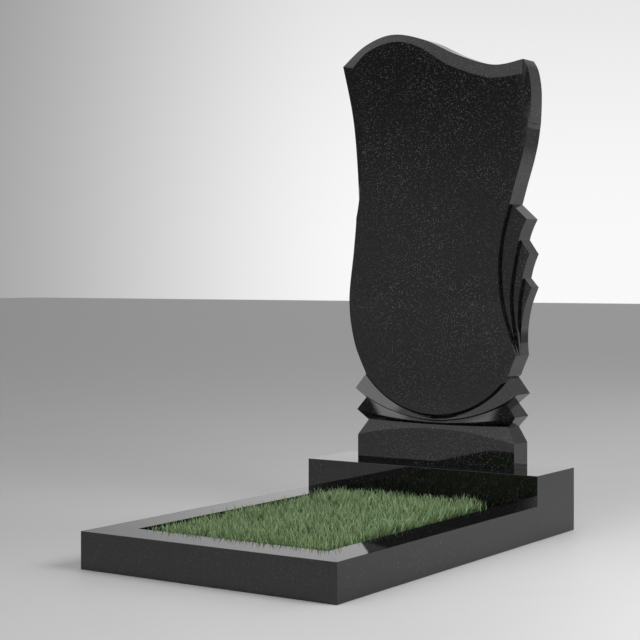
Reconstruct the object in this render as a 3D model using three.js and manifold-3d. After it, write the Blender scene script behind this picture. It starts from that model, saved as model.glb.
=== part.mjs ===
// Granite memorial set: a carved stele on a plinth, with a low kerb in front that holds a bed of grass.
// Millimetres, +Z up, +X to the right, -Y to the front. The origin is on the ground, in the middle
// of the footprint.

import * as THREE from 'three';
import { mergeVertices } from 'three/addons/utils/BufferGeometryUtils.js';
import Module from 'manifold-3d';

const wasm = await Module();
wasm.setup();

// Kerb and plinth
const setWidth = 640;
const kerbLength = 845;
const kerbHeight = 80;
const sideRailWidth = 80;
const frontRailWidth = 90;
const plinthDepth = 200;
const plinthHeight = 150;
const jointGap = 0.3;

// Bed of grass
const turfHeight = 100;
const turfClearance = 2;

// Stele as a slab
const steleThickness = 70;
const baseWidth = 440;
const panelWidth = 533;
const panelHeight = 849;
// The slab is centred on the plinth by its overall width, so its base stands a little to the right
const steleShift = 7.5;

// Bevel around the top of the panel: how far it runs back and how wide it looks from the front
const bevelDepth = 12;
const leftBevelWidth = 36;
const leftBevelDrop = 7;
const leftBevelStart = 0.55;

// Neck at its two ends: each height is measured up from the one before it
const shoulderHeight = 62;
const bandEndRise = 36.5;
const undercutEndRise = 27;
const tipSpacing = 54;
const upperLeafEndRise = 39.5;

// Neck on its middle line, outwards from the bottom of the V groove
const bandMiddleHeight = 10.5;
const undercutMiddleHeight = 5.2;
const lowerLeafMiddleHeight = 6.5;
const upperLeafMiddleHeight = 12.6;

// Neck in plan: how far tips stand out from the sides of the base, and notches in from them
const upperTipOverhang = 7.5;
const lowerTipOverhang = 2.7;
const grooveNotchDepth = 22.3;
const neckTopInset = 22.6;

// Waist between the two tips: its place as a share of the upper leaf's arc, and how far below that arc
const waistShare = 0.845;
const waistDrop = 4.8;

// Leaves of the neck: how deep each is sunk along its upper edge
const upperLeafDepth = 6.2;
const lowerLeafMiddleDepth = 3;
const lowerLeafEndDepth = 5.4;

// V groove: depth gained for each millimetre across its two faces. Petals: depth of one below the next
const bandSlope = 0.47;
const undercutSlope = 0.8;
const petalStep = 10.5;

// Fineness of the curves
const arcSteps = 40;
const curveSteps = 10;
const extraSteps = 2;
const cutOvershoot = 5;

const setLength = kerbLength + plinthDepth;
const frontY = -setLength / 2;
const plinthFrontY = frontY + kerbLength;
const steleFrontY = plinthFrontY + (plinthDepth - steleThickness) / 2;
const steleBottomZ = plinthHeight + jointGap;

// Heights of the neck, above the bottom of the stele
const grooveZ = shoulderHeight + bandEndRise;
const lowerTipZ = grooveZ + undercutEndRise;
const upperTipZ = lowerTipZ + tipSpacing;
const neckTopZ = upperTipZ + upperLeafEndRise;
const bandTopZ = grooveZ - bandMiddleHeight;
const lowerLeafZ = grooveZ + undercutMiddleHeight;
const upperLeafZ = lowerLeafZ + lowerLeafMiddleHeight;
const panelBottomZ = upperLeafZ + upperLeafMiddleHeight;

// Half widths of the neck
const baseHalf = baseWidth / 2;
const upperTipHalf = baseHalf + upperTipOverhang;
const lowerTipHalf = baseHalf + lowerTipOverhang;
const grooveNotchHalf = baseHalf - grooveNotchDepth;
const neckTopHalf = baseHalf - neckTopInset;

// A circular arc that is symmetric about the middle line, from its height on that line and at its ends
function makeArc(middleZ, endZ, halfWidth) {
  const sagitta = endZ - middleZ;
  const radius = (halfWidth * halfWidth + sagitta * sagitta) / (2 * Math.abs(sagitta));
  const up = Math.sign(sagitta);
  return { radius, up, centreZ: middleZ + up * radius, halfAngle: Math.asin(halfWidth / radius) };
}

// Point of an arc, share -1 at the left end to 1 at the right end, moved outwards by offset
function arcPoint(arc, share, offset = 0) {
  const angle = share * arc.halfAngle;
  const reach = arc.radius + offset;
  return new THREE.Vector2(reach * Math.sin(angle), arc.centreZ - arc.up * reach * Math.cos(angle));
}

const panelArc = makeArc(panelBottomZ, neckTopZ, neckTopHalf);
const upperLeafArc = makeArc(upperLeafZ, upperTipZ, upperTipHalf);
const lowerLeafArc = makeArc(lowerLeafZ, lowerTipZ, lowerTipHalf);
const bandArc = makeArc(bandTopZ, shoulderHeight, baseHalf);

// Panel points are shares of its width and of its height above the neck
function panelPoint(x, z) {
  return new THREE.Vector2(x * panelWidth, neckTopZ + z * panelHeight);
}

function panelSpline(shares) {
  return new THREE.SplineCurve(shares.map(([x, z]) => panelPoint(x, z)));
}

// Wavy outline of the panel
const leftEdge = new THREE.SplineCurve([
  new THREE.Vector2(-neckTopHalf, neckTopZ),
  panelPoint(-0.434, 0.092),
  panelPoint(-0.462, 0.214),
  panelPoint(-0.436, 0.366),
  panelPoint(-0.422, 0.478),
  panelPoint(-0.43, 0.613),
  panelPoint(-0.456, 0.765),
  panelPoint(-0.512, 0.918),
]);
const topEdge = panelSpline([
  [-0.512, 0.918],
  [-0.385, 0.975],
  [-0.236, 1],
  [-0.067, 0.977],
  [0.109, 0.925],
  [0.296, 0.887],
  [0.446, 0.896],
]);
const topBevelEdge = panelSpline([
  [-0.441, 0.91],
  [-0.357, 0.954],
  [-0.223, 0.976],
  [-0.086, 0.957],
  [0.081, 0.894],
  [0.287, 0.85],
  [0.452, 0.853],
]);
const rightUpperEdge = panelSpline([
  [0.446, 0.896], [0.47, 0.867], [0.484, 0.818], [0.485, 0.765], [0.481, 0.718],
]);
const rightBevelEdge = new THREE.CubicBezierCurve(
  panelPoint(0.452, 0.853),
  panelPoint(0.453, 0.8),
  panelPoint(0.479, 0.765),
  panelPoint(0.481, 0.718),
);
const rightLowerEdge = panelSpline([
  [0.481, 0.718], [0.467, 0.661], [0.444, 0.604], [0.417, 0.55], [0.389, 0.49],
]);

// Petals on the right: tips and notches of their outline, and where all their edges run together
const petalTips = [panelPoint(0.465, 0.447), panelPoint(0.47, 0.349), panelPoint(0.47, 0.255)];
const petalNotches = [panelPoint(0.389, 0.49), panelPoint(0.426, 0.389), panelPoint(0.434, 0.281)];
const petalEnd = panelPoint(0.421, 0.062);
const petalTipBow = 0.008;
const lastPetalEdge = new THREE.SplineCurve([
  petalTips[2],
  panelPoint(0.438, 0.204),
  panelPoint(0.421, 0.15),
  panelPoint(0.417, 0.105),
  petalEnd,
]);
const petalGrooves = [
  new THREE.SplineCurve([
    petalNotches[0],
    panelPoint(0.349, 0.404),
    panelPoint(0.333, 0.302),
    panelPoint(0.352, 0.19),
    petalEnd,
  ]),
  new THREE.SplineCurve([
    petalNotches[1],
    panelPoint(0.404, 0.333),
    panelPoint(0.381, 0.233),
    panelPoint(0.393, 0.141),
    petalEnd,
  ]),
  new THREE.SplineCurve([
    petalNotches[2],
    panelPoint(0.416, 0.224),
    panelPoint(0.41, 0.162),
    panelPoint(0.414, 0.112),
    petalEnd,
  ]),
];
const panelFoot = new THREE.SplineCurve([
  new THREE.Vector2(neckTopHalf, neckTopZ),
  panelPoint(0.382, 0.006),
  panelPoint(0.396, 0.027),
  petalEnd,
]);

// Edge of a petal from its tip back to the next notch, bowed slightly inwards
function petalUnderside(tip, notch) {
  const bow = new THREE.Vector2(-petalTipBow * panelWidth, 0);
  const middle = tip.clone().add(notch).multiplyScalar(0.5).add(bow);
  return new THREE.QuadraticBezierCurve(tip, middle, notch);
}

// Outline of the stele, anticlockwise from the bottom right corner, as pairs of front and rear points
function steleOutline() {
  const front = [];
  const rear = [];
  const plain = (points) => {
    front.push(...points);
    rear.push(...points);
  };
  const sharp = (x, z) => plain([new THREE.Vector2(x, z)]);
  const reversed = (curve, steps) => curve.getPoints(steps).reverse();

  sharp(baseHalf, 0);
  sharp(baseHalf, shoulderHeight);
  sharp(grooveNotchHalf, grooveZ);
  sharp(lowerTipHalf, lowerTipZ);
  plain([arcPoint(upperLeafArc, waistShare, waistDrop), arcPoint(upperLeafArc, 1)]);
  sharp(neckTopHalf, neckTopZ);
  plain(panelFoot.getPoints(curveSteps).slice(1));
  plain(reversed(lastPetalEdge, 2 * curveSteps).slice(1));
  plain(reversed(petalUnderside(petalTips[1], petalNotches[2]), curveSteps / 2));
  plain(reversed(petalUnderside(petalTips[0], petalNotches[1]), curveSteps / 2));
  plain(reversed(rightLowerEdge, 2 * curveSteps));

  // Bevelled stretch: right side, top and left side
  front.push(...reversed(rightBevelEdge, 2 * curveSteps).slice(1));
  rear.push(...reversed(rightUpperEdge, 2 * curveSteps).slice(1));
  front.push(...reversed(topBevelEdge, 5 * curveSteps).slice(1));
  rear.push(...reversed(topEdge, 5 * curveSteps).slice(1));
  const leftSteps = 5 * curveSteps;
  for (let i = 1; i < leftSteps; i += 1) {
    const share = 1 - i / leftSteps;
    const point = leftEdge.getPoint(share);
    const fade = Math.sin(Math.max(0, (share - leftBevelStart) / (1 - leftBevelStart)) * Math.PI / 2);
    const inwards = new THREE.Vector2(leftBevelWidth * fade, -leftBevelDrop * fade);
    front.push(point.clone().add(inwards));
    rear.push(point);
  }

  sharp(-neckTopHalf, neckTopZ);
  plain([arcPoint(upperLeafArc, -1), arcPoint(upperLeafArc, -waistShare, waistDrop)]);
  sharp(-lowerTipHalf, lowerTipZ);
  sharp(-grooveNotchHalf, grooveZ);
  sharp(-baseHalf, shoulderHeight);
  sharp(-baseHalf, 0);
  return { front, rear };
}

// Closed mesh through rings of equally many points, with flat caps on the first and the last ring
function loft(rings, capPoints) {
  const count = rings[0].length;
  const positions = rings.flat().flatMap((point) => [point.x, point.y, point.z]);
  const indices = [];
  for (let ring = 0; ring + 1 < rings.length; ring += 1) {
    for (let i = 0; i < count; i += 1) {
      const next = (i + 1) % count;
      const a = ring * count + i;
      const b = ring * count + next;
      indices.push(a, b, b + count, a, b + count, a + count);
    }
  }
  const last = (rings.length - 1) * count;
  for (const [a, b, c] of THREE.ShapeUtils.triangulateShape(capPoints[0], [])) {
    indices.push(a, c, b);
  }
  for (const [a, b, c] of THREE.ShapeUtils.triangulateShape(capPoints[1], [])) {
    indices.push(last + a, last + b, last + c);
  }
  return { positions, indices };
}

function anticlockwise(points) {
  return THREE.ShapeUtils.isClockWise(points) ? [...points].reverse() : points;
}

function signedVolume({ positions, indices }) {
  const a = new THREE.Vector3();
  const b = new THREE.Vector3();
  const c = new THREE.Vector3();
  let volume = 0;
  for (let i = 0; i < indices.length; i += 3) {
    a.fromArray(positions, indices[i] * 3);
    b.fromArray(positions, indices[i + 1] * 3);
    c.fromArray(positions, indices[i + 2] * 3);
    volume += a.dot(b.cross(c)) / 6;
  }
  return volume;
}

function toGeometry(mesh) {
  const geometry = new THREE.BufferGeometry();
  geometry.setAttribute('position', new THREE.Float32BufferAttribute(mesh.positions, 3));
  geometry.setIndex(mesh.indices);
  return geometry;
}

function toManifold(mesh) {
  const outward = signedVolume(mesh) > 0;
  const indices = outward ? mesh.indices : [...mesh.indices].reverse();
  const merged = mergeVertices(toGeometry({ positions: mesh.positions, indices }), 1e-4);
  return new wasm.Manifold(new wasm.Mesh({
    numProp: 3,
    vertProperties: Float32Array.from(merged.attributes.position.array),
    triVerts: Uint32Array.from(merged.index.array),
  }));
}

// Point of the stele: x across, z up from its bottom, depth back from its front
function stelePoint(point, depth) {
  return new THREE.Vector3(steleShift + point.x, steleFrontY + depth, steleBottomZ + point.y);
}

// Straight prism of the stele from one depth to another
function prism(points, fromDepth, toDepth) {
  const outline = anticlockwise(points);
  const rings = [fromDepth, toDepth].map((depth) => outline.map((point) => stelePoint(point, depth)));
  return toManifold(loft(rings, [outline, outline]));
}

// Wedge in front of a conical face: it starts at the front on the arc and gets deeper away from it
function coneCut(arc, side, reach, slope) {
  const rings = [];
  const section = anticlockwise([
    new THREE.Vector2(0, -cutOvershoot),
    new THREE.Vector2(0, 0),
    new THREE.Vector2(side * reach, reach * slope),
    new THREE.Vector2(side * reach, -cutOvershoot),
  ]);
  for (let i = -extraSteps; i <= arcSteps + extraSteps; i += 1) {
    const share = 2 * i / arcSteps - 1;
    rings.push(section.map(({ x, y }) => stelePoint(arcPoint(arc, share, x), y)));
  }
  return toManifold(loft(rings, [section, section]));
}

// Cut that leaves a leaf between two arcs: flush on its lower arc, and sunk along its upper arc,
// where a wall at 45 degrees leads up to what lies over it
function leafCut(lowArc, highArc, middleDepth, endDepth) {
  const rings = [];
  const sections = [];
  for (let i = -extraSteps; i <= arcSteps + extraSteps; i += 1) {
    const share = 2 * i / arcSteps - 1;
    const depth = middleDepth + (endDepth - middleDepth) * share * share;
    const low = arcPoint(lowArc, share);
    const high = arcPoint(highArc, share);
    const width = low.distanceTo(high);
    const section = [
      new THREE.Vector2(0, -cutOvershoot),
      new THREE.Vector2(width, -cutOvershoot),
      new THREE.Vector2(width, 0),
      new THREE.Vector2(width - depth, depth),
      new THREE.Vector2(0, 0),
    ];
    sections.push(section);
    rings.push(section.map(({ x, y }) => stelePoint(low.clone().lerp(high, x / width), y)));
  }
  return toManifold(loft(rings, [sections[0], sections[sections.length - 1]]));
}

function petalCut(index) {
  const groove = petalGrooves[index].getPoints(3 * curveSteps);
  const outer = panelWidth;
  const outline = [...groove, new THREE.Vector2(outer, petalEnd.y), new THREE.Vector2(outer, groove[0].y)];
  return prism(outline, -cutOvershoot, petalStep * (index + 1));
}

function makeStele() {
  const { front, rear } = steleOutline();
  const rings = [
    front.map((point) => stelePoint(point, 0)),
    rear.map((point) => stelePoint(point, bevelDepth)),
    rear.map((point) => stelePoint(point, steleThickness)),
  ];
  let stele = toManifold(loft(rings, [front, rear]));
  for (let index = 0; index < petalGrooves.length; index += 1) {
    stele = stele.subtract(petalCut(index));
  }
  const reach = lowerTipZ - shoulderHeight;
  const undercut = coneCut(lowerLeafArc, 1, reach, undercutSlope);
  const vGroove = coneCut(bandArc, 1, reach, bandSlope).intersect(undercut);
  const upperLeaf = leafCut(upperLeafArc, panelArc, upperLeafDepth, upperLeafDepth);
  const lowerLeaf = leafCut(lowerLeafArc, upperLeafArc, lowerLeafMiddleDepth, lowerLeafEndDepth);
  return stele.subtract(upperLeaf).subtract(lowerLeaf).subtract(vGroove);
}

function manifoldGeometry(solid) {
  const mesh = solid.getMesh();
  const geometry = new THREE.BufferGeometry();
  const positions = new Float32Array(mesh.numVert * 3);
  for (let i = 0; i < mesh.numVert; i += 1) {
    positions.set(mesh.vertProperties.subarray(i * mesh.numProp, i * mesh.numProp + 3), i * 3);
  }
  geometry.setAttribute('position', new THREE.BufferAttribute(positions, 3));
  geometry.setIndex([...mesh.triVerts]);
  return geometry;
}

// Rail from its outline on the ground
function railGeometry(corners) {
  const shape = new THREE.Shape(corners.map(([x, y]) => new THREE.Vector2(x, y)));
  return new THREE.ExtrudeGeometry(shape, { depth: kerbHeight, bevelEnabled: false });
}

const outerX = setWidth / 2;
const innerX = outerX - sideRailWidth;
const innerFrontY = frontY + frontRailWidth;
const railEndY = plinthFrontY - jointGap;
const mitreShift = jointGap * Math.hypot(sideRailWidth, frontRailWidth) / frontRailWidth;

function frontRailGeometry() {
  return railGeometry([
    [-outerX + mitreShift, frontY],
    [outerX - mitreShift, frontY],
    [innerX - mitreShift, innerFrontY],
    [-innerX + mitreShift, innerFrontY],
  ]);
}

function sideRailGeometry(side) {
  return railGeometry([
    [side * outerX, frontY],
    [side * outerX, railEndY],
    [side * innerX, railEndY],
    [side * innerX, innerFrontY],
  ]);
}

function boxGeometry(width, fromY, toY, height) {
  const geometry = new THREE.BoxGeometry(width, toY - fromY, height);
  geometry.translate(0, (fromY + toY) / 2, height / 2);
  return geometry;
}

function granite(shade) {
  return new THREE.MeshStandardMaterial({ color: shade, roughness: 0.1, metalness: 0 });
}

const group = new THREE.Group();

function addPiece(name, geometry, material) {
  const mesh = new THREE.Mesh(geometry, material);
  mesh.name = name;
  group.add(mesh);
}

addPiece('front_kerb', frontRailGeometry(), granite(0x2a2a2b));
addPiece('left_kerb', sideRailGeometry(-1), granite(0x2c2c2d));
addPiece('right_kerb', sideRailGeometry(1), granite(0x2c2c2d));
addPiece(
  'plinth',
  boxGeometry(setWidth, plinthFrontY, plinthFrontY + plinthDepth, plinthHeight),
  granite(0x262627),
);
addPiece('stele', manifoldGeometry(makeStele()), granite(0x242425));
addPiece(
  'turf',
  boxGeometry(
    2 * (innerX - turfClearance),
    innerFrontY + turfClearance,
    plinthFrontY - turfClearance,
    turfHeight,
  ),
  new THREE.MeshStandardMaterial({ color: 0x5c7a4a, roughness: 0.9, metalness: 0 }),
);

export default group;
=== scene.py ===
import math

import bmesh
import bpy
import numpy as np
from mathutils import Euler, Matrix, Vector, noise


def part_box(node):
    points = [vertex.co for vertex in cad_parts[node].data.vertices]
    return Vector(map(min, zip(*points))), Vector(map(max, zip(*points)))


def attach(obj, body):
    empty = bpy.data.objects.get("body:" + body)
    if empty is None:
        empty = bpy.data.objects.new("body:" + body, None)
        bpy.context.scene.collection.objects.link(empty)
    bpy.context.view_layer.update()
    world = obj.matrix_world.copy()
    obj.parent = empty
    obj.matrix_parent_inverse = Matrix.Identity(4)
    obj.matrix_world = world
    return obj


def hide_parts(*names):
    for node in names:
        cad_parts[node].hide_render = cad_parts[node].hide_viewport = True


# Looks of a polished black granite memorial: carved stele, plinth, kerb and a bed of grass.
# Lengths are in millimetres until a mesh is made, and in metres from then on.

MM = 0.001
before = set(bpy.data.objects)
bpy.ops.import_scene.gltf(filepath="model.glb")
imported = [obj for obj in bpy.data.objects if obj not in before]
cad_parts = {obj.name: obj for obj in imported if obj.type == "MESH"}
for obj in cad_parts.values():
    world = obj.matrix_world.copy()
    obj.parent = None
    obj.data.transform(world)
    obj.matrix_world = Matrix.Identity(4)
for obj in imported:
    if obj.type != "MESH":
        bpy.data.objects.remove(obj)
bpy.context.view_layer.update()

# Stele as a slab
BASE_WIDTH = 440
PANEL_WIDTH = 533
PANEL_HEIGHT = 849
STELE_SHIFT = 7.5

# Bevel around the top of the panel
BEVEL_DEPTH = 12
LEFT_BEVEL_WIDTH = 36
LEFT_BEVEL_DROP = 7
LEFT_BEVEL_START = 0.55

# Neck at its two ends, then on its middle line
SHOULDER_HEIGHT = 62
BAND_END_RISE = 36.5
UNDERCUT_END_RISE = 27
TIP_SPACING = 54
UPPER_LEAF_END_RISE = 39.5
BAND_MIDDLE_HEIGHT = 10.5
UNDERCUT_MIDDLE_HEIGHT = 5.2
LOWER_LEAF_MIDDLE_HEIGHT = 6.5
UPPER_LEAF_MIDDLE_HEIGHT = 12.6

# Neck in plan
UPPER_TIP_OVERHANG = 7.5
LOWER_TIP_OVERHANG = 2.7
GROOVE_NOTCH_DEPTH = 22.3
NECK_TOP_INSET = 22.6
WAIST_SHARE = 0.845
WAIST_DROP = 4.8

# Carving
UPPER_LEAF_DEPTH = 6.2
LOWER_LEAF_MIDDLE_DEPTH = 3
LOWER_LEAF_END_DEPTH = 5.4
BAND_SLOPE = 0.47
UNDERCUT_SLOPE = 0.8
PETAL_STEP = 10.5
CUT_OVERSHOOT = 5

# Fineness of the curves, and the angle that makes an edge a crease
ARC_STEPS = 160
CURVE_STEPS = 40
EXTRA_STEPS = 8
MERGE_DISTANCE = 0.002
CREASE = math.radians(5)

# Arris along the blocks' edges
BLOCK_ARRIS = 0.6
ARRIS_ANGLE = math.radians(30)
ARRIS_MERGE_DISTANCE = 0.02

# Bed of grass: the soil, then the margins where less grass grows, then the blades
SOIL_TOP = 50
SOIL_COLUMNS = 96
SOIL_ROWS = 150
LEFT_MARGIN = 42
RIGHT_MARGIN = 16
FRONT_MARGIN = 12
REAR_MARGIN = 26
RIGHT_REAR_GAP = 45
RIM_SHARE = 0.03
LONG_BLADES = 20000
SHORT_BLADES = 10000
BLADE_INSET = 3
BLADE_ROOT = 2

# Floor, in metres
FLOOR_REACH = 30
FLOOR_DROP = 0.0005

# Light: radiance of the surroundings behind, low and high, and in front, with a glow around one direction
BACK_GLOW = 0.95
BACK_TOP_GLOW = 0.57
FRONT_GLOW = 1.0
KEY_GLOW = 1.8
KEY_DIRECTION = (-0.2, -0.92, 0.28)

# Lamps: place, target, size and radiance, in metres
LAMPS = {
    "key": ((-0.33, -2.32, 2.25), (0, 0.39, 0.35), (2.2, 2.9), 1.6),
    "side": ((1.9, -0.1, 1.7), (0.8, 0.0, 0), (1.2, 1.2), 16),
    "back": ((3.0, 3.6, 2.6), (2.2, 3.0, 0), (3, 3), 4.5),
}

# Camera
CAMERA_TURN = math.radians(33.86)
CAMERA_PLACE = (1.9144, -2.9556, 0.6123)
CAMERA_LENS = 87.87
CAMERA_SENSOR = 36
CAMERA_SHIFT = -0.0682


def node_box(name):
    low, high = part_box(name)
    return np.array(low) / MM, np.array(high) / MM


stele_low, stele_high = node_box("stele")
stele_front = stele_low[1]
stele_bottom = stele_low[2]
stele_thickness = stele_high[1] - stele_low[1]

groove_z = SHOULDER_HEIGHT + BAND_END_RISE
lower_tip_z = groove_z + UNDERCUT_END_RISE
upper_tip_z = lower_tip_z + TIP_SPACING
neck_top_z = upper_tip_z + UPPER_LEAF_END_RISE
band_top_z = groove_z - BAND_MIDDLE_HEIGHT
lower_leaf_z = groove_z + UNDERCUT_MIDDLE_HEIGHT
upper_leaf_z = lower_leaf_z + LOWER_LEAF_MIDDLE_HEIGHT
panel_bottom_z = upper_leaf_z + UPPER_LEAF_MIDDLE_HEIGHT

base_half = BASE_WIDTH / 2
upper_tip_half = base_half + UPPER_TIP_OVERHANG
lower_tip_half = base_half + LOWER_TIP_OVERHANG
groove_notch_half = base_half - GROOVE_NOTCH_DEPTH
neck_top_half = base_half - NECK_TOP_INSET


class Arc:
    """Circular arc, symmetric about the middle line, from its height there and at its ends."""

    def __init__(self, middle_z, end_z, half_width):
        sagitta = end_z - middle_z
        self.radius = (half_width**2 + sagitta**2) / (2 * abs(sagitta))
        self.up = math.copysign(1, sagitta)
        self.centre = middle_z + self.up * self.radius
        self.half_angle = math.asin(half_width / self.radius)

    def point(self, share, offset=0):
        angle = share * self.half_angle
        reach = self.radius + offset
        return reach * math.sin(angle), self.centre - self.up * reach * math.cos(angle)


panel_arc = Arc(panel_bottom_z, neck_top_z, neck_top_half)
upper_leaf_arc = Arc(upper_leaf_z, upper_tip_z, upper_tip_half)
lower_leaf_arc = Arc(lower_leaf_z, lower_tip_z, lower_tip_half)
band_arc = Arc(band_top_z, SHOULDER_HEIGHT, base_half)


def panel_point(x, z):
    """Point from its shares of the panel's width and of its height above the neck."""
    return x * PANEL_WIDTH, neck_top_z + z * PANEL_HEIGHT


def spline(points, steps):
    """Smooth curve through the points, with equally many steps between each two."""
    p = [points[0], *points, points[-1]]
    made = []
    spans = len(points) - 1
    for i in range(steps + 1):
        at = i / steps * spans
        k = min(int(at), spans - 1)
        t = at - k
        a, b, c, d = (np.array(q, float) for q in p[k:k + 4])
        v0 = (c - a) / 2
        v1 = (d - b) / 2
        q = (2 * b - 2 * c + v0 + v1) * t**3 + (3 * c - 3 * b - 2 * v0 - v1) * t**2 + v0 * t + b
        made.append((float(q[0]), float(q[1])))
    return made


def bezier(points, steps):
    """Bezier curve of any degree."""
    made = []
    for i in range(steps + 1):
        t = i / steps
        level = [np.array(q, float) for q in points]
        while len(level) > 1:
            level = [a + (b - a) * t for a, b in zip(level, level[1:])]
        made.append((float(level[0][0]), float(level[0][1])))
    return made


LEFT_EDGE = [(-neck_top_half, neck_top_z)] + [
    panel_point(*q) for q in [
        (-0.434, 0.092), (-0.462, 0.214), (-0.436, 0.366), (-0.422, 0.478),
        (-0.43, 0.613), (-0.456, 0.765), (-0.512, 0.918),
    ]
]
TOP_EDGE = [
    panel_point(*q) for q in [
        (-0.512, 0.918), (-0.385, 0.975), (-0.236, 1), (-0.067, 0.977),
        (0.109, 0.925), (0.296, 0.887), (0.446, 0.896),
    ]
]
TOP_BEVEL_EDGE = [
    panel_point(*q) for q in [
        (-0.441, 0.91), (-0.357, 0.954), (-0.223, 0.976), (-0.086, 0.957),
        (0.081, 0.894), (0.287, 0.85), (0.452, 0.853),
    ]
]
RIGHT_UPPER_EDGE = [
    panel_point(*q) for q in [
        (0.446, 0.896), (0.47, 0.867), (0.484, 0.818), (0.485, 0.765), (0.481, 0.718),
    ]
]
RIGHT_BEVEL_EDGE = [
    panel_point(*q) for q in [(0.452, 0.853), (0.453, 0.8), (0.479, 0.765), (0.481, 0.718)]
]
RIGHT_LOWER_EDGE = [
    panel_point(*q) for q in [
        (0.481, 0.718), (0.467, 0.661), (0.444, 0.604), (0.417, 0.55), (0.389, 0.49),
    ]
]
PETAL_TIPS = [panel_point(0.465, 0.447), panel_point(0.47, 0.349), panel_point(0.47, 0.255)]
PETAL_NOTCHES = [panel_point(0.389, 0.49), panel_point(0.426, 0.389), panel_point(0.434, 0.281)]
PETAL_END = panel_point(0.421, 0.062)
PETAL_TIP_BOW = 0.008
LAST_PETAL_EDGE = [
    PETAL_TIPS[2],
    *(panel_point(*q) for q in [(0.438, 0.204), (0.421, 0.15), (0.417, 0.105)]),
    PETAL_END,
]
PETAL_GROOVES = [
    [notch, *(panel_point(*q) for q in middle), PETAL_END]
    for notch, middle in zip(PETAL_NOTCHES, [
        [(0.349, 0.404), (0.333, 0.302), (0.352, 0.19)],
        [(0.404, 0.333), (0.381, 0.233), (0.393, 0.141)],
        [(0.416, 0.224), (0.41, 0.162), (0.414, 0.112)],
    ])
]
PANEL_FOOT = [
    (neck_top_half, neck_top_z),
    panel_point(0.382, 0.006),
    panel_point(0.396, 0.027),
    PETAL_END,
]


def petal_underside(tip, notch):
    middle = ((tip[0] + notch[0]) / 2 - PETAL_TIP_BOW * PANEL_WIDTH, (tip[1] + notch[1]) / 2)
    return bezier([tip, middle, notch], CURVE_STEPS // 2)


def stele_outline():
    """Front and rear outline, anticlockwise from the bottom right corner."""
    front = []
    rear = []

    def plain(points):
        front.extend(points)
        rear.extend(points)

    plain([(base_half, 0), (base_half, SHOULDER_HEIGHT)])
    plain([(groove_notch_half, groove_z), (lower_tip_half, lower_tip_z)])
    plain([upper_leaf_arc.point(WAIST_SHARE, WAIST_DROP), upper_leaf_arc.point(1)])
    plain(spline(PANEL_FOOT, CURVE_STEPS))
    plain(spline(LAST_PETAL_EDGE, 2 * CURVE_STEPS)[-2::-1])
    plain(petal_underside(PETAL_TIPS[1], PETAL_NOTCHES[2])[::-1])
    plain(petal_underside(PETAL_TIPS[0], PETAL_NOTCHES[1])[::-1])
    plain(spline(RIGHT_LOWER_EDGE, 2 * CURVE_STEPS)[::-1])
    front.extend(bezier(RIGHT_BEVEL_EDGE, 2 * CURVE_STEPS)[-2::-1])
    rear.extend(spline(RIGHT_UPPER_EDGE, 2 * CURVE_STEPS)[-2::-1])
    front.extend(spline(TOP_BEVEL_EDGE, 5 * CURVE_STEPS)[-2::-1])
    rear.extend(spline(TOP_EDGE, 5 * CURVE_STEPS)[-2::-1])
    left_steps = 5 * CURVE_STEPS
    left = spline(LEFT_EDGE, left_steps)
    for i in range(left_steps - 1, 0, -1):
        share = i / left_steps
        x, z = left[i]
        fade = math.sin(max(0, (share - LEFT_BEVEL_START) / (1 - LEFT_BEVEL_START)) * math.pi / 2)
        front.append((x + LEFT_BEVEL_WIDTH * fade, z - LEFT_BEVEL_DROP * fade))
        rear.append((x, z))
    plain([(-neck_top_half, neck_top_z)])
    plain([upper_leaf_arc.point(-1), upper_leaf_arc.point(-WAIST_SHARE, WAIST_DROP)])
    plain([(-lower_tip_half, lower_tip_z), (-groove_notch_half, groove_z)])
    plain([(-base_half, SHOULDER_HEIGHT), (-base_half, 0)])
    return front, rear


def stele_place(point, depth):
    x, z = point
    return (STELE_SHIFT + x) * MM, (stele_front + depth) * MM, (stele_bottom + z) * MM


def loft(name, rings):
    """Closed object through rings of equally many points, capped by one face at each end."""
    count = len(rings[0])
    points = [q for ring in rings for q in ring]
    faces = [list(range(count))[::-1], list(range(len(points) - count, len(points)))]
    for r in range(len(rings) - 1):
        for i in range(count):
            j = (i + 1) % count
            a, b = r * count + i, r * count + j
            faces.append([a, b, b + count])
            faces.append([a, b + count, a + count])
    mesh = bpy.data.meshes.new(name)
    mesh.from_pydata(points, [], faces)
    bm = bmesh.new()
    bm.from_mesh(mesh)
    bmesh.ops.remove_doubles(bm, verts=bm.verts, dist=MERGE_DISTANCE * MM)
    bmesh.ops.recalc_face_normals(bm, faces=bm.faces)
    bm.to_mesh(mesh)
    bm.free()
    made = bpy.data.objects.new(name, mesh)
    bpy.context.scene.collection.objects.link(made)
    return made


def prism(outline, start, end):
    return loft("prism", [[stele_place(q, depth) for q in outline] for depth in (start, end)])


def cone_wedge(arc, side, reach, slope):
    """Wedge in front of a conical face, which starts on the arc and gets deeper away from it."""
    section = [
        (0, -CUT_OVERSHOOT),
        (0, 0),
        (side * reach, reach * slope),
        (side * reach, -CUT_OVERSHOOT),
    ]
    rings = []
    for i in range(-EXTRA_STEPS, ARC_STEPS + EXTRA_STEPS + 1):
        share = 2 * i / ARC_STEPS - 1
        rings.append([stele_place(arc.point(share, x), depth) for x, depth in section])
    return loft("wedge", rings)


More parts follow.
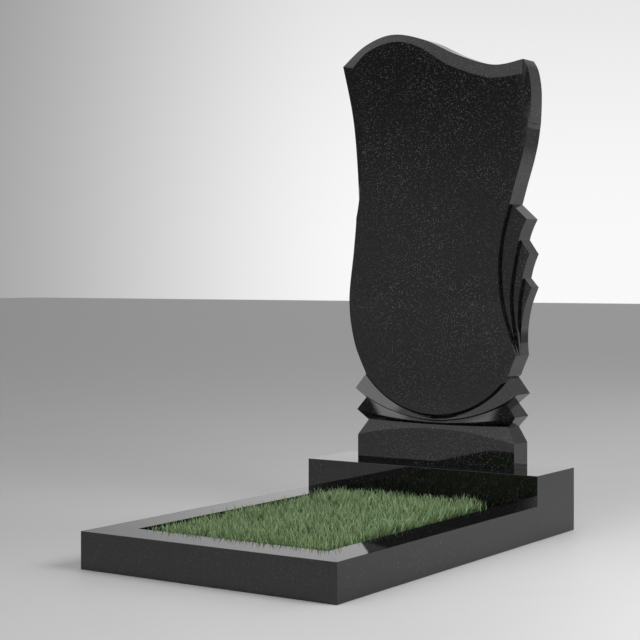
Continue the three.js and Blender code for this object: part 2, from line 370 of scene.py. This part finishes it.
def leaf_wedge(low_arc, high_arc, middle_depth, end_depth):
    """Cut for a leaf between two arcs: flush on the lower one, sunk behind a wall on the upper one."""
    rings = []
    for i in range(-EXTRA_STEPS, ARC_STEPS + EXTRA_STEPS + 1):
        share = 2 * i / ARC_STEPS - 1
        depth = middle_depth + (end_depth - middle_depth) * share**2
        low = np.array(low_arc.point(share))
        high = np.array(high_arc.point(share))
        foot = high + (low - high) * depth / np.linalg.norm(low - high)
        rings.append([
            stele_place(low, -CUT_OVERSHOOT),
            stele_place(high, -CUT_OVERSHOOT),
            stele_place(high, 0),
            stele_place(foot, depth),
            stele_place(low, 0),
        ])
    return loft("wedge", rings)


def petal_wedge(index):
    groove = spline(PETAL_GROOVES[index], 4 * CURVE_STEPS)
    outer = PANEL_WIDTH
    outline = [*groove, (outer, PETAL_END[1]), (outer, groove[0][1])]
    return prism(outline, -CUT_OVERSHOOT, PETAL_STEP * (index + 1))


def combine(base, tool, operation):
    """Cuts or meets base with tool, which is used up."""
    modifier = base.modifiers.new("cut", "BOOLEAN")
    modifier.operation = operation
    modifier.solver = "MANIFOLD"
    modifier.object = tool
    graph = bpy.context.evaluated_depsgraph_get()
    mesh = bpy.data.meshes.new_from_object(base.evaluated_get(graph))
    base.modifiers.clear()
    base.data = mesh
    bpy.data.objects.remove(tool)


def arris(made, keep):
    """Takes the sharpness off the outward edges that keep picks, by a narrow flat."""
    bm = bmesh.new()
    bm.from_mesh(made.data)
    bmesh.ops.remove_doubles(bm, verts=bm.verts, dist=ARRIS_MERGE_DISTANCE * MM)
    bmesh.ops.dissolve_degenerate(bm, dist=ARRIS_MERGE_DISTANCE * MM, edges=bm.edges)
    bmesh.ops.dissolve_limit(
        bm, angle_limit=math.radians(0.05), use_dissolve_boundaries=False,
        verts=bm.verts, edges=bm.edges, delimit=set(),
    )
    edges = [
        e for e in bm.edges
        if e.is_manifold and e.calc_face_angle_signed(0) > ARRIS_ANGLE and keep(e)
    ]
    bmesh.ops.bevel(
        bm, geom=edges, offset=BLOCK_ARRIS * MM, offset_type="OFFSET", segments=1, profile=0.5,
        affect="EDGES", clamp_overlap=False, loop_slide=True, miter_outer="SHARP",
    )
    bm.to_mesh(made.data)
    bm.free()


def smooth_between_creases(made):
    made.data.polygons.foreach_set("use_smooth", [True] * len(made.data.polygons))
    made.data.set_sharp_from_angle(angle=CREASE)


def make_stele():
    front, rear = stele_outline()
    rings = [
        [stele_place(q, 0) for q in front],
        [stele_place(q, BEVEL_DEPTH) for q in rear],
        [stele_place(q, stele_thickness) for q in rear],
    ]
    made = loft("stele_stone", rings)
    for index in range(len(PETAL_GROOVES)):
        combine(made, petal_wedge(index), "DIFFERENCE")
    reach = lower_tip_z - SHOULDER_HEIGHT
    groove = cone_wedge(band_arc, 1, reach, BAND_SLOPE)
    combine(groove, cone_wedge(lower_leaf_arc, 1, reach, UNDERCUT_SLOPE), "INTERSECT")
    upper = leaf_wedge(upper_leaf_arc, panel_arc, UPPER_LEAF_DEPTH, UPPER_LEAF_DEPTH)
    lower = leaf_wedge(
        lower_leaf_arc, upper_leaf_arc, LOWER_LEAF_MIDDLE_DEPTH, LOWER_LEAF_END_DEPTH
    )
    for tool in (upper, lower, groove):
        combine(made, tool, "DIFFERENCE")
    return made


stele = make_stele()
smooth_between_creases(stele)


def link_mesh(name, points, faces):
    mesh = bpy.data.meshes.new(name)
    mesh.from_pydata(points, [], faces)
    made = bpy.data.objects.new(name, mesh)
    bpy.context.scene.collection.objects.link(made)
    return made


def block(name, corners, low_z, high_z, keep):
    """Upright block from its corners on the ground, with a fine arris along its edges."""
    made = loft(name, [[(x * MM, y * MM, z * MM) for x, y in corners] for z in (low_z, high_z)])
    arris(made, keep)
    return made


def rail(name, node):
    """Kerb rail with mitred front ends, from the box of its solid."""
    low, high = node_box(node)
    inner_y = node_box("front_kerb")[1][1]
    side = math.copysign(1, low[0] + high[0])
    outer_x = high[0] if side > 0 else low[0]
    inner_x = low[0] if side > 0 else high[0]
    corners = [(outer_x, low[1]), (outer_x, high[1]), (inner_x, high[1]), (inner_x, inner_y)]

    def keep(edge):
        """Only the edges that run along the rail."""
        a, b = edge.verts
        return abs(a.co.x - b.co.x) < 0.0005 and abs(a.co.y - b.co.y) > 0.3

    return block(name, corners, low[2], high[2], keep)


def front_rail():
    """Front rail of the kerb, mitred at both ends."""
    low, high = node_box("front_kerb")
    left_high = node_box("left_kerb")[1]
    right_high = node_box("right_kerb")[1]
    inner_x = -left_high[0] - (right_high[0] - high[0])
    corners = [(low[0], low[1]), (high[0], low[1]), (inner_x, high[1]), (-inner_x, high[1])]

    def keep(edge):
        """Only the edges that run along the rail."""
        a, b = edge.verts
        return abs(a.co.x - b.co.x) > 0.4

    return block("front_rail_stone", corners, low[2], high[2], keep)


plinth_low, plinth_high = node_box("plinth")
plinth = block(
    "plinth_stone",
    [
        (plinth_low[0], plinth_low[1]),
        (plinth_high[0], plinth_low[1]),
        (plinth_high[0], plinth_high[1]),
        (plinth_low[0], plinth_high[1]),
    ],
    plinth_low[2],
    plinth_high[2],
    lambda edge: min(v.co.z for v in edge.verts) > 0.1,
)
rails = [
    front_rail(),
    rail("left_rail_stone", "left_kerb"),
    rail("right_rail_stone", "right_kerb"),
]

# Bed of soil, and the blades of grass on it
turf_low, turf_high = node_box("turf")


def soil_height(x, y):
    rough = noise.noise(Vector((x * 0.045, y * 0.045, 3.1)))
    fine = noise.noise(Vector((x * 0.16, y * 0.16, 7.7)))
    return SOIL_TOP + 3 * rough + 1.6 * fine


def make_soil():
    columns = SOIL_COLUMNS
    rows = SOIL_ROWS
    xs = np.linspace(turf_low[0], turf_high[0], columns + 1)
    ys = np.linspace(turf_low[1], turf_high[1], rows + 1)
    points = [(x, y, soil_height(x, y)) for y in ys for x in xs]
    width = columns + 1
    faces = [
        [r * width + c, r * width + c + 1, (r + 1) * width + c + 1, (r + 1) * width + c]
        for r in range(rows) for c in range(columns)
    ]
    rim = list(range(width))
    rim += [r * width + columns for r in range(1, rows + 1)]
    rim += [rows * width + c for c in range(columns - 1, -1, -1)]
    rim += [r * width for r in range(rows - 1, 0, -1)]
    first = len(points)
    points += [(points[i][0], points[i][1], turf_low[2]) for i in rim]
    count = len(rim)
    for i in range(count):
        j = (i + 1) % count
        faces.append([rim[j], rim[i], first + i, first + j])
    faces.append([first + i for i in range(count)][::-1])
    made = link_mesh("soil_bed", [tuple(v * MM for v in p) for p in points], faces)
    made.data.polygons.foreach_set("use_smooth", [True] * len(made.data.polygons))
    made.data.set_sharp_from_angle(angle=math.radians(50))
    return made


def edge_share(x, y):
    """Falls to zero at the rim of the bed, where less grass grows."""
    left = (x - turf_low[0]) / LEFT_MARGIN
    bare = RIGHT_REAR_GAP * (y - turf_low[1]) / (turf_high[1] - turf_low[1])
    right = (turf_high[0] - bare - x) / RIGHT_MARGIN
    front = (y - turf_low[1]) / FRONT_MARGIN
    rear = (turf_high[1] - y) / REAR_MARGIN
    return min(1, max(RIM_SHARE, min(left, right, front, rear)))


def clamp(value, low, high):
    return min(max(value, low), high)


def make_blades(name, count, seed, lengths, width, lean, segments):
    """Grass as tapering bent strips, each with a shade of its own and its share of the length."""
    rng = np.random.default_rng(seed)
    points = []
    faces = []
    shades = []
    along = []
    placed = 0
    while placed < count:
        x = rng.uniform(turf_low[0] + BLADE_INSET, turf_high[0] - BLADE_INSET)
        y = rng.uniform(turf_low[1] + BLADE_INSET, turf_high[1] - BLADE_INSET)
        chance = rng.random()
        length = rng.uniform(*lengths)
        turn = rng.uniform(0, 2 * math.pi)
        face_turn = rng.uniform(0, math.pi)
        tilt = lean * abs(rng.normal())
        bend = rng.uniform(0.1, 1.0)
        wide = width * rng.uniform(0.7, 1.3)
        shade = rng.random()
        patch = 0.5 + 0.5 * noise.noise(Vector((x * 0.012, y * 0.012, 1.3)))
        if chance > edge_share(x, y):
            continue
        length *= 0.82 + 0.3 * patch
        base_z = soil_height(x, y) - BLADE_ROOT
        ox, oy = math.cos(turn), math.sin(turn)
        wx, wy = math.cos(face_turn), math.sin(face_turn)
        first = len(points)
        for k in range(segments + 1):
            s = k / segments
            reach = length * (tilt * s + bend * 0.35 * s * s)
            rise = length * s * (1 - 0.12 * bend * s)
            px = clamp(x + ox * reach, turf_low[0] + 0.5, turf_high[0] - 0.5)
            py = clamp(y + oy * reach, turf_low[1] + 0.5, turf_high[1] - 0.5)
            pz = min(base_z + rise, turf_high[2] - 0.4)
            if k < segments:
                half = wide / 2 * (1 - 0.25 * s)
                for sign in (-1, 1):
                    qx = clamp(px + sign * wx * half, turf_low[0], turf_high[0])
                    qy = clamp(py + sign * wy * half, turf_low[1], turf_high[1])
                    points.append((qx * MM, qy * MM, pz * MM))
                    shades.append(shade)
                    along.append(s)
            else:
                points.append((px * MM, py * MM, pz * MM))
                shades.append(shade)
                along.append(1.0)
        for k in range(segments - 1):
            a = first + 2 * k
            faces.append([a, a + 1, a + 3, a + 2])
        a = first + 2 * (segments - 1)
        faces.append([a, a + 1, a + 2])
        placed += 1
    made = link_mesh(name, points, faces)
    for attribute, values in (("shade", shades), ("along", along)):
        layer = made.data.attributes.new(attribute, "FLOAT", "POINT")
        layer.data.foreach_set("value", np.array(values, np.float32))
    made.data.polygons.foreach_set("use_smooth", [True] * len(made.data.polygons))
    return made


soil = make_soil()
long_grass = make_blades(
    "long_grass", LONG_BLADES, seed=11, lengths=(27, 52), width=1.7, lean=0.2, segments=4,
)
short_grass = make_blades(
    "short_grass", SHORT_BLADES, seed=12, lengths=(12, 30), width=1.9, lean=0.34, segments=3,
)


class Nodes:
    """Shorthand for building one material's nodes."""

    def __init__(self, name):
        self.material = bpy.data.materials.new(name)
        self.material.use_nodes = True
        self.tree = self.material.node_tree
        self.tree.nodes.clear()
        self.output = self.tree.nodes.new("ShaderNodeOutputMaterial")
        self.shader = self.tree.nodes.new("ShaderNodeBsdfPrincipled")
        self.link(self.shader.outputs["BSDF"], self.output.inputs["Surface"])
        place = self.tree.nodes.new("ShaderNodeTexCoord")
        self.place = place.outputs["Object"]

    def link(self, source, target):
        self.tree.links.new(source, target)

    def put(self, socket, value):
        if isinstance(value, bpy.types.NodeSocket):
            self.link(value, socket)
        else:
            socket.default_value = value

    def noise(self, scale, detail=2, roughness=0.5):
        node = self.tree.nodes.new("ShaderNodeTexNoise")
        self.link(self.place, node.inputs["Vector"])
        node.inputs["Scale"].default_value = scale
        node.inputs["Detail"].default_value = detail
        node.inputs["Roughness"].default_value = roughness
        return node.outputs["Fac"]

    def cells(self, scale):
        node = self.tree.nodes.new("ShaderNodeTexVoronoi")
        self.link(self.place, node.inputs["Vector"])
        node.inputs["Scale"].default_value = scale
        return node.outputs["Distance"], node.outputs["Color"]

    def math(self, operation, a, b):
        node = self.tree.nodes.new("ShaderNodeMath")
        node.operation = operation
        self.put(node.inputs[0], a)
        self.put(node.inputs[1], b)
        return node.outputs[0]

    def span(self, value, low, high, to_low=0.0, to_high=1.0):
        node = self.tree.nodes.new("ShaderNodeMapRange")
        self.put(node.inputs["Value"], value)
        node.inputs["From Min"].default_value = low
        node.inputs["From Max"].default_value = high
        node.inputs["To Min"].default_value = to_low
        node.inputs["To Max"].default_value = to_high
        return node.outputs["Result"]

    def mix(self, share, a, b):
        """Mix of two colours, whose sockets are the inputs 6 and 7 and the output 2."""
        node = self.tree.nodes.new("ShaderNodeMix")
        node.data_type = "RGBA"
        self.put(node.inputs["Factor"], share)
        for socket, value in ((node.inputs[6], a), (node.inputs[7], b)):
            self.put(socket, value if isinstance(value, bpy.types.NodeSocket) else (*value, 1))
        return node.outputs[2]

    def part(self, colour, channel):
        node = self.tree.nodes.new("ShaderNodeSeparateColor")
        self.link(colour, node.inputs["Color"])
        return node.outputs[channel]

    def bump(self, height, strength, distance):
        node = self.tree.nodes.new("ShaderNodeBump")
        self.link(height, node.inputs["Height"])
        node.inputs["Strength"].default_value = strength
        node.inputs["Distance"].default_value = distance
        self.link(node.outputs["Normal"], self.shader.inputs["Normal"])

    def attribute(self, name):
        node = self.tree.nodes.new("ShaderNodeAttribute")
        node.attribute_name = name
        return node.outputs["Fac"]


def flecks(n, scale, share, size):
    """Mask of scattered crystals: a share of the cells, each a spot of the given size in its cell."""
    distance, colour = n.cells(scale)
    chosen = n.math("GREATER_THAN", n.part(colour, "Red"), 1 - share)
    spot = n.span(distance, size, size * 0.5)
    strength = n.span(n.part(colour, "Green"), 0, 1, 0.35, 1)
    return n.math("MULTIPLY", n.math("MULTIPLY", chosen, spot), strength)


def granite(name, amount):
    """Polished black granite with fine pale crystals, more of them in some places."""
    n = Nodes(name)
    cloud = n.span(n.noise(9, 3), 0.35, 0.7, 0.35, 1)
    small = flecks(n, 580, 0.12, 0.48)
    large = flecks(n, 350, 0.04, 0.4)
    mask = n.math("MULTIPLY", n.math("MAXIMUM", small, large), cloud)
    mask = n.math("MULTIPLY", mask, amount)
    grain = n.span(n.noise(420, 3, 0.7), 0.45, 0.75)
    base = n.mix(grain, (0.0004, 0.0004, 0.0005), (0.007, 0.007, 0.0073))
    n.put(n.shader.inputs["Base Color"], n.mix(mask, base, (0.16, 0.16, 0.164)))
    n.put(n.shader.inputs["Roughness"], n.span(n.noise(180, 2), 0.3, 0.7, 0.02, 0.04))
    n.shader.inputs["IOR"].default_value = 1.55
    n.bump(n.noise(350, 2), 0.02, 0.0004)
    return n.material


def soil_material():
    n = Nodes("soil")
    clods = n.noise(160, 4, 0.65)
    dark = n.mix(n.span(clods, 0.35, 0.65), (0.008, 0.012, 0.006), (0.03, 0.042, 0.018))
    n.put(n.shader.inputs["Base Color"], dark)
    n.put(n.shader.inputs["Roughness"], n.span(n.noise(90), 0.3, 0.7, 0.85, 1))
    n.bump(clods, 0.8, 0.002)
    return n.material


def grass_material(name, dark, light, tip):
    """Green of each blade by its own random tone, paler at the tip, with painted shade that darkens it
    towards the foot.
    """
    n = Nodes(name)
    shade = n.attribute("shade")
    along = n.attribute("along")
    green = n.mix(n.math("POWER", shade, 1.5), dark, light)
    green = n.mix(n.span(along, 0.5, 1, 0, 0.65), green, tip)
    # Painted shade: the green is scaled down towards the blade's foot, to 0.15 at the soil, with fine
    # random streaks.
    streak = n.span(n.noise(700, 2), 0.35, 0.65, 0.75, 1.15)
    foot = n.math("MULTIPLY", n.span(along, 0, 0.7, 0.15, 1), streak)
    node = n.tree.nodes.new("ShaderNodeVectorMath")
    node.operation = "SCALE"
    n.link(green, node.inputs[0])
    n.link(foot, node.inputs["Scale"])
    n.put(n.shader.inputs["Base Color"], node.outputs[0])
    n.put(n.shader.inputs["Roughness"], n.span(shade, 0, 1, 0.45, 0.6))
    n.shader.inputs["IOR"].default_value = 1.4
    return n.material


stele_granite = granite("stele_polished_granite", 1.0)
plinth_granite = granite("plinth_polished_granite", 0.7)
kerb_granite = granite("kerb_polished_granite", 0.6)


def dress(made, material, slot, *nodes):
    made.data.materials.clear()
    made.data.materials.append(material)
    if nodes:
        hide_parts(*nodes)
    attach(made, "root")


dress(stele, stele_granite, "stele_granite", "stele")
dress(plinth, plinth_granite, "plinth_granite", "plinth")
for made, node in zip(rails, ("front_kerb", "left_kerb", "right_kerb")):
    dress(made, kerb_granite, "kerb_granite", node)
dress(soil, soil_material(), "turf", "turf")
long_green = grass_material(
    "long_grass_blades", (0.005, 0.017, 0.004), (0.155, 0.262, 0.092), (0.26, 0.35, 0.19),
)
dress(long_grass, long_green, "turf")
# Short grass: the grass material again with much darker greens, partly the grass's own colour and partly
# painted shade for the lower layer under the long blades.
short_green_painted_shade = grass_material(
    "short_grass_blades_painted_shade", (0.006, 0.018, 0.004), (0.06, 0.11, 0.036), (0.09, 0.13, 0.06),
)
dress(short_grass, short_green_painted_shade, "turf")


def make_floor():
    corners = [(x * FLOOR_REACH, y * FLOOR_REACH, 0) for x, y in [(-1, -1), (1, -1), (1, 1), (-1, 1)]]
    floor = link_mesh("floor", corners, [[0, 1, 2, 3]])
    floor.location.z = -FLOOR_DROP
    n = Nodes("pale_floor")
    n.put(n.shader.inputs["Base Color"], n.mix(n.noise(3), (0.33, 0.33, 0.33), (0.35, 0.35, 0.35)))
    n.shader.inputs["Roughness"].default_value = 0.55
    floor.data.materials.append(n.material)


def make_world():
    """Soft surroundings by direction: a glow in front with a dim window in it, and a pale rear."""
    world = bpy.data.worlds.new("studio")
    bpy.context.scene.world = world
    world.use_nodes = True
    tree = world.node_tree
    tree.nodes.clear()
    out = tree.nodes.new("ShaderNodeOutputWorld")
    background = tree.nodes.new("ShaderNodeBackground")
    place = tree.nodes.new("ShaderNodeTexCoord")
    split = tree.nodes.new("ShaderNodeSeparateXYZ")
    tree.links.new(place.outputs["Generated"], split.inputs[0])

    def put(socket, value):
        if isinstance(value, bpy.types.NodeSocket):
            tree.links.new(value, socket)
        else:
            socket.default_value = value

    def span(source, low, high, to_low, to_high):
        node = tree.nodes.new("ShaderNodeMapRange")
        node.interpolation_type = "SMOOTHSTEP"
        tree.links.new(source, node.inputs["Value"])
        ends = {"From Min": low, "From Max": high, "To Min": to_low, "To Max": to_high}
        for key, value in ends.items():
            node.inputs[key].default_value = value
        return node.outputs["Result"]

    def mix(share, low, high):
        node = tree.nodes.new("ShaderNodeMix")
        node.data_type = "FLOAT"
        put(node.inputs[0], share)
        put(node.inputs[2], low)
        put(node.inputs[3], high)
        return node.outputs[0]

    def math_node(operation, a, b):
        node = tree.nodes.new("ShaderNodeMath")
        node.operation = operation
        put(node.inputs[0], a)
        put(node.inputs[1], b)
        return node.outputs[0]

    # In front: a soft glow, and to its left a dim window low down; darker on the right
    x, y, z = (split.outputs[key] for key in "XYZ")
    apart = tree.nodes.new("ShaderNodeVectorMath")
    apart.operation = "DISTANCE"
    tree.links.new(place.outputs["Generated"], apart.inputs[0])
    apart.inputs[1].default_value = KEY_DIRECTION
    glow = math_node("ADD", span(apart.outputs["Value"], 0.24, 0.46, KEY_GLOW, 0.0), FRONT_GLOW)
    left = span(x, -0.575, -0.545, 0.0, 1.0)
    right = span(x, -0.445, -0.42, 1.0, 0.0)
    window = math_node("MULTIPLY", left, right)
    window = math_node("MULTIPLY", window, span(z, 0.165, 0.22, 1.0, 0.0))
    front = mix(window, glow, span(z, 0.0, 0.15, 0.42, 0.14))
    front = math_node("MULTIPLY", front, span(x, 0.15, 0.5, 1.0, 0.2))

    # Behind: dimmer upwards and towards both sides
    behind = span(z, 0.0, 0.4, BACK_GLOW, BACK_TOP_GLOW)
    behind = math_node("MULTIPLY", behind, span(x, -0.76, -0.52, 0.36, 1.0))
    behind = math_node("MULTIPLY", behind, span(x, -0.05, 0.2, 1.0, 0.6))

    # Both together, with a dark far left
    around = mix(span(y, -0.1, 0.5, 0.0, 1.0), front, behind)
    sky = math_node("MULTIPLY", around, span(x, -0.93, -0.83, 0.12, 1.0))
    tree.links.new(sky, background.inputs["Strength"])
    background.inputs["Color"].default_value = (1, 1, 1, 1)
    tree.links.new(background.outputs[0], out.inputs["Surface"])


def soft_light(name, place, target, size, radiance):
    """Area lamp that lights the pieces but isn't mirrored in them."""
    data = bpy.data.lights.new(name, "AREA")
    data.shape = "RECTANGLE"
    data.size, data.size_y = size
    data.energy = radiance * math.pi * size[0] * size[1]
    made = bpy.data.objects.new(name, data)
    bpy.context.scene.collection.objects.link(made)
    made.location = place
    made.rotation_euler = (Vector(target) - Vector(place)).to_track_quat("-Z", "Y").to_euler()
    made.visible_camera = False
    made.visible_glossy = False


def make_camera():
    data = bpy.data.cameras.new("camera")
    data.lens = CAMERA_LENS
    data.sensor_width = CAMERA_SENSOR
    data.shift_y = CAMERA_SHIFT
    made = bpy.data.objects.new("camera", data)
    bpy.context.scene.collection.objects.link(made)
    made.location = CAMERA_PLACE
    made.rotation_euler = Euler((math.pi / 2, 0, CAMERA_TURN))
    bpy.context.scene.camera = made


make_floor()
make_world()
for name, lamp in LAMPS.items():
    soft_light(name, *lamp)
bpy.context.scene.view_settings.view_transform = "Standard"
make_camera()
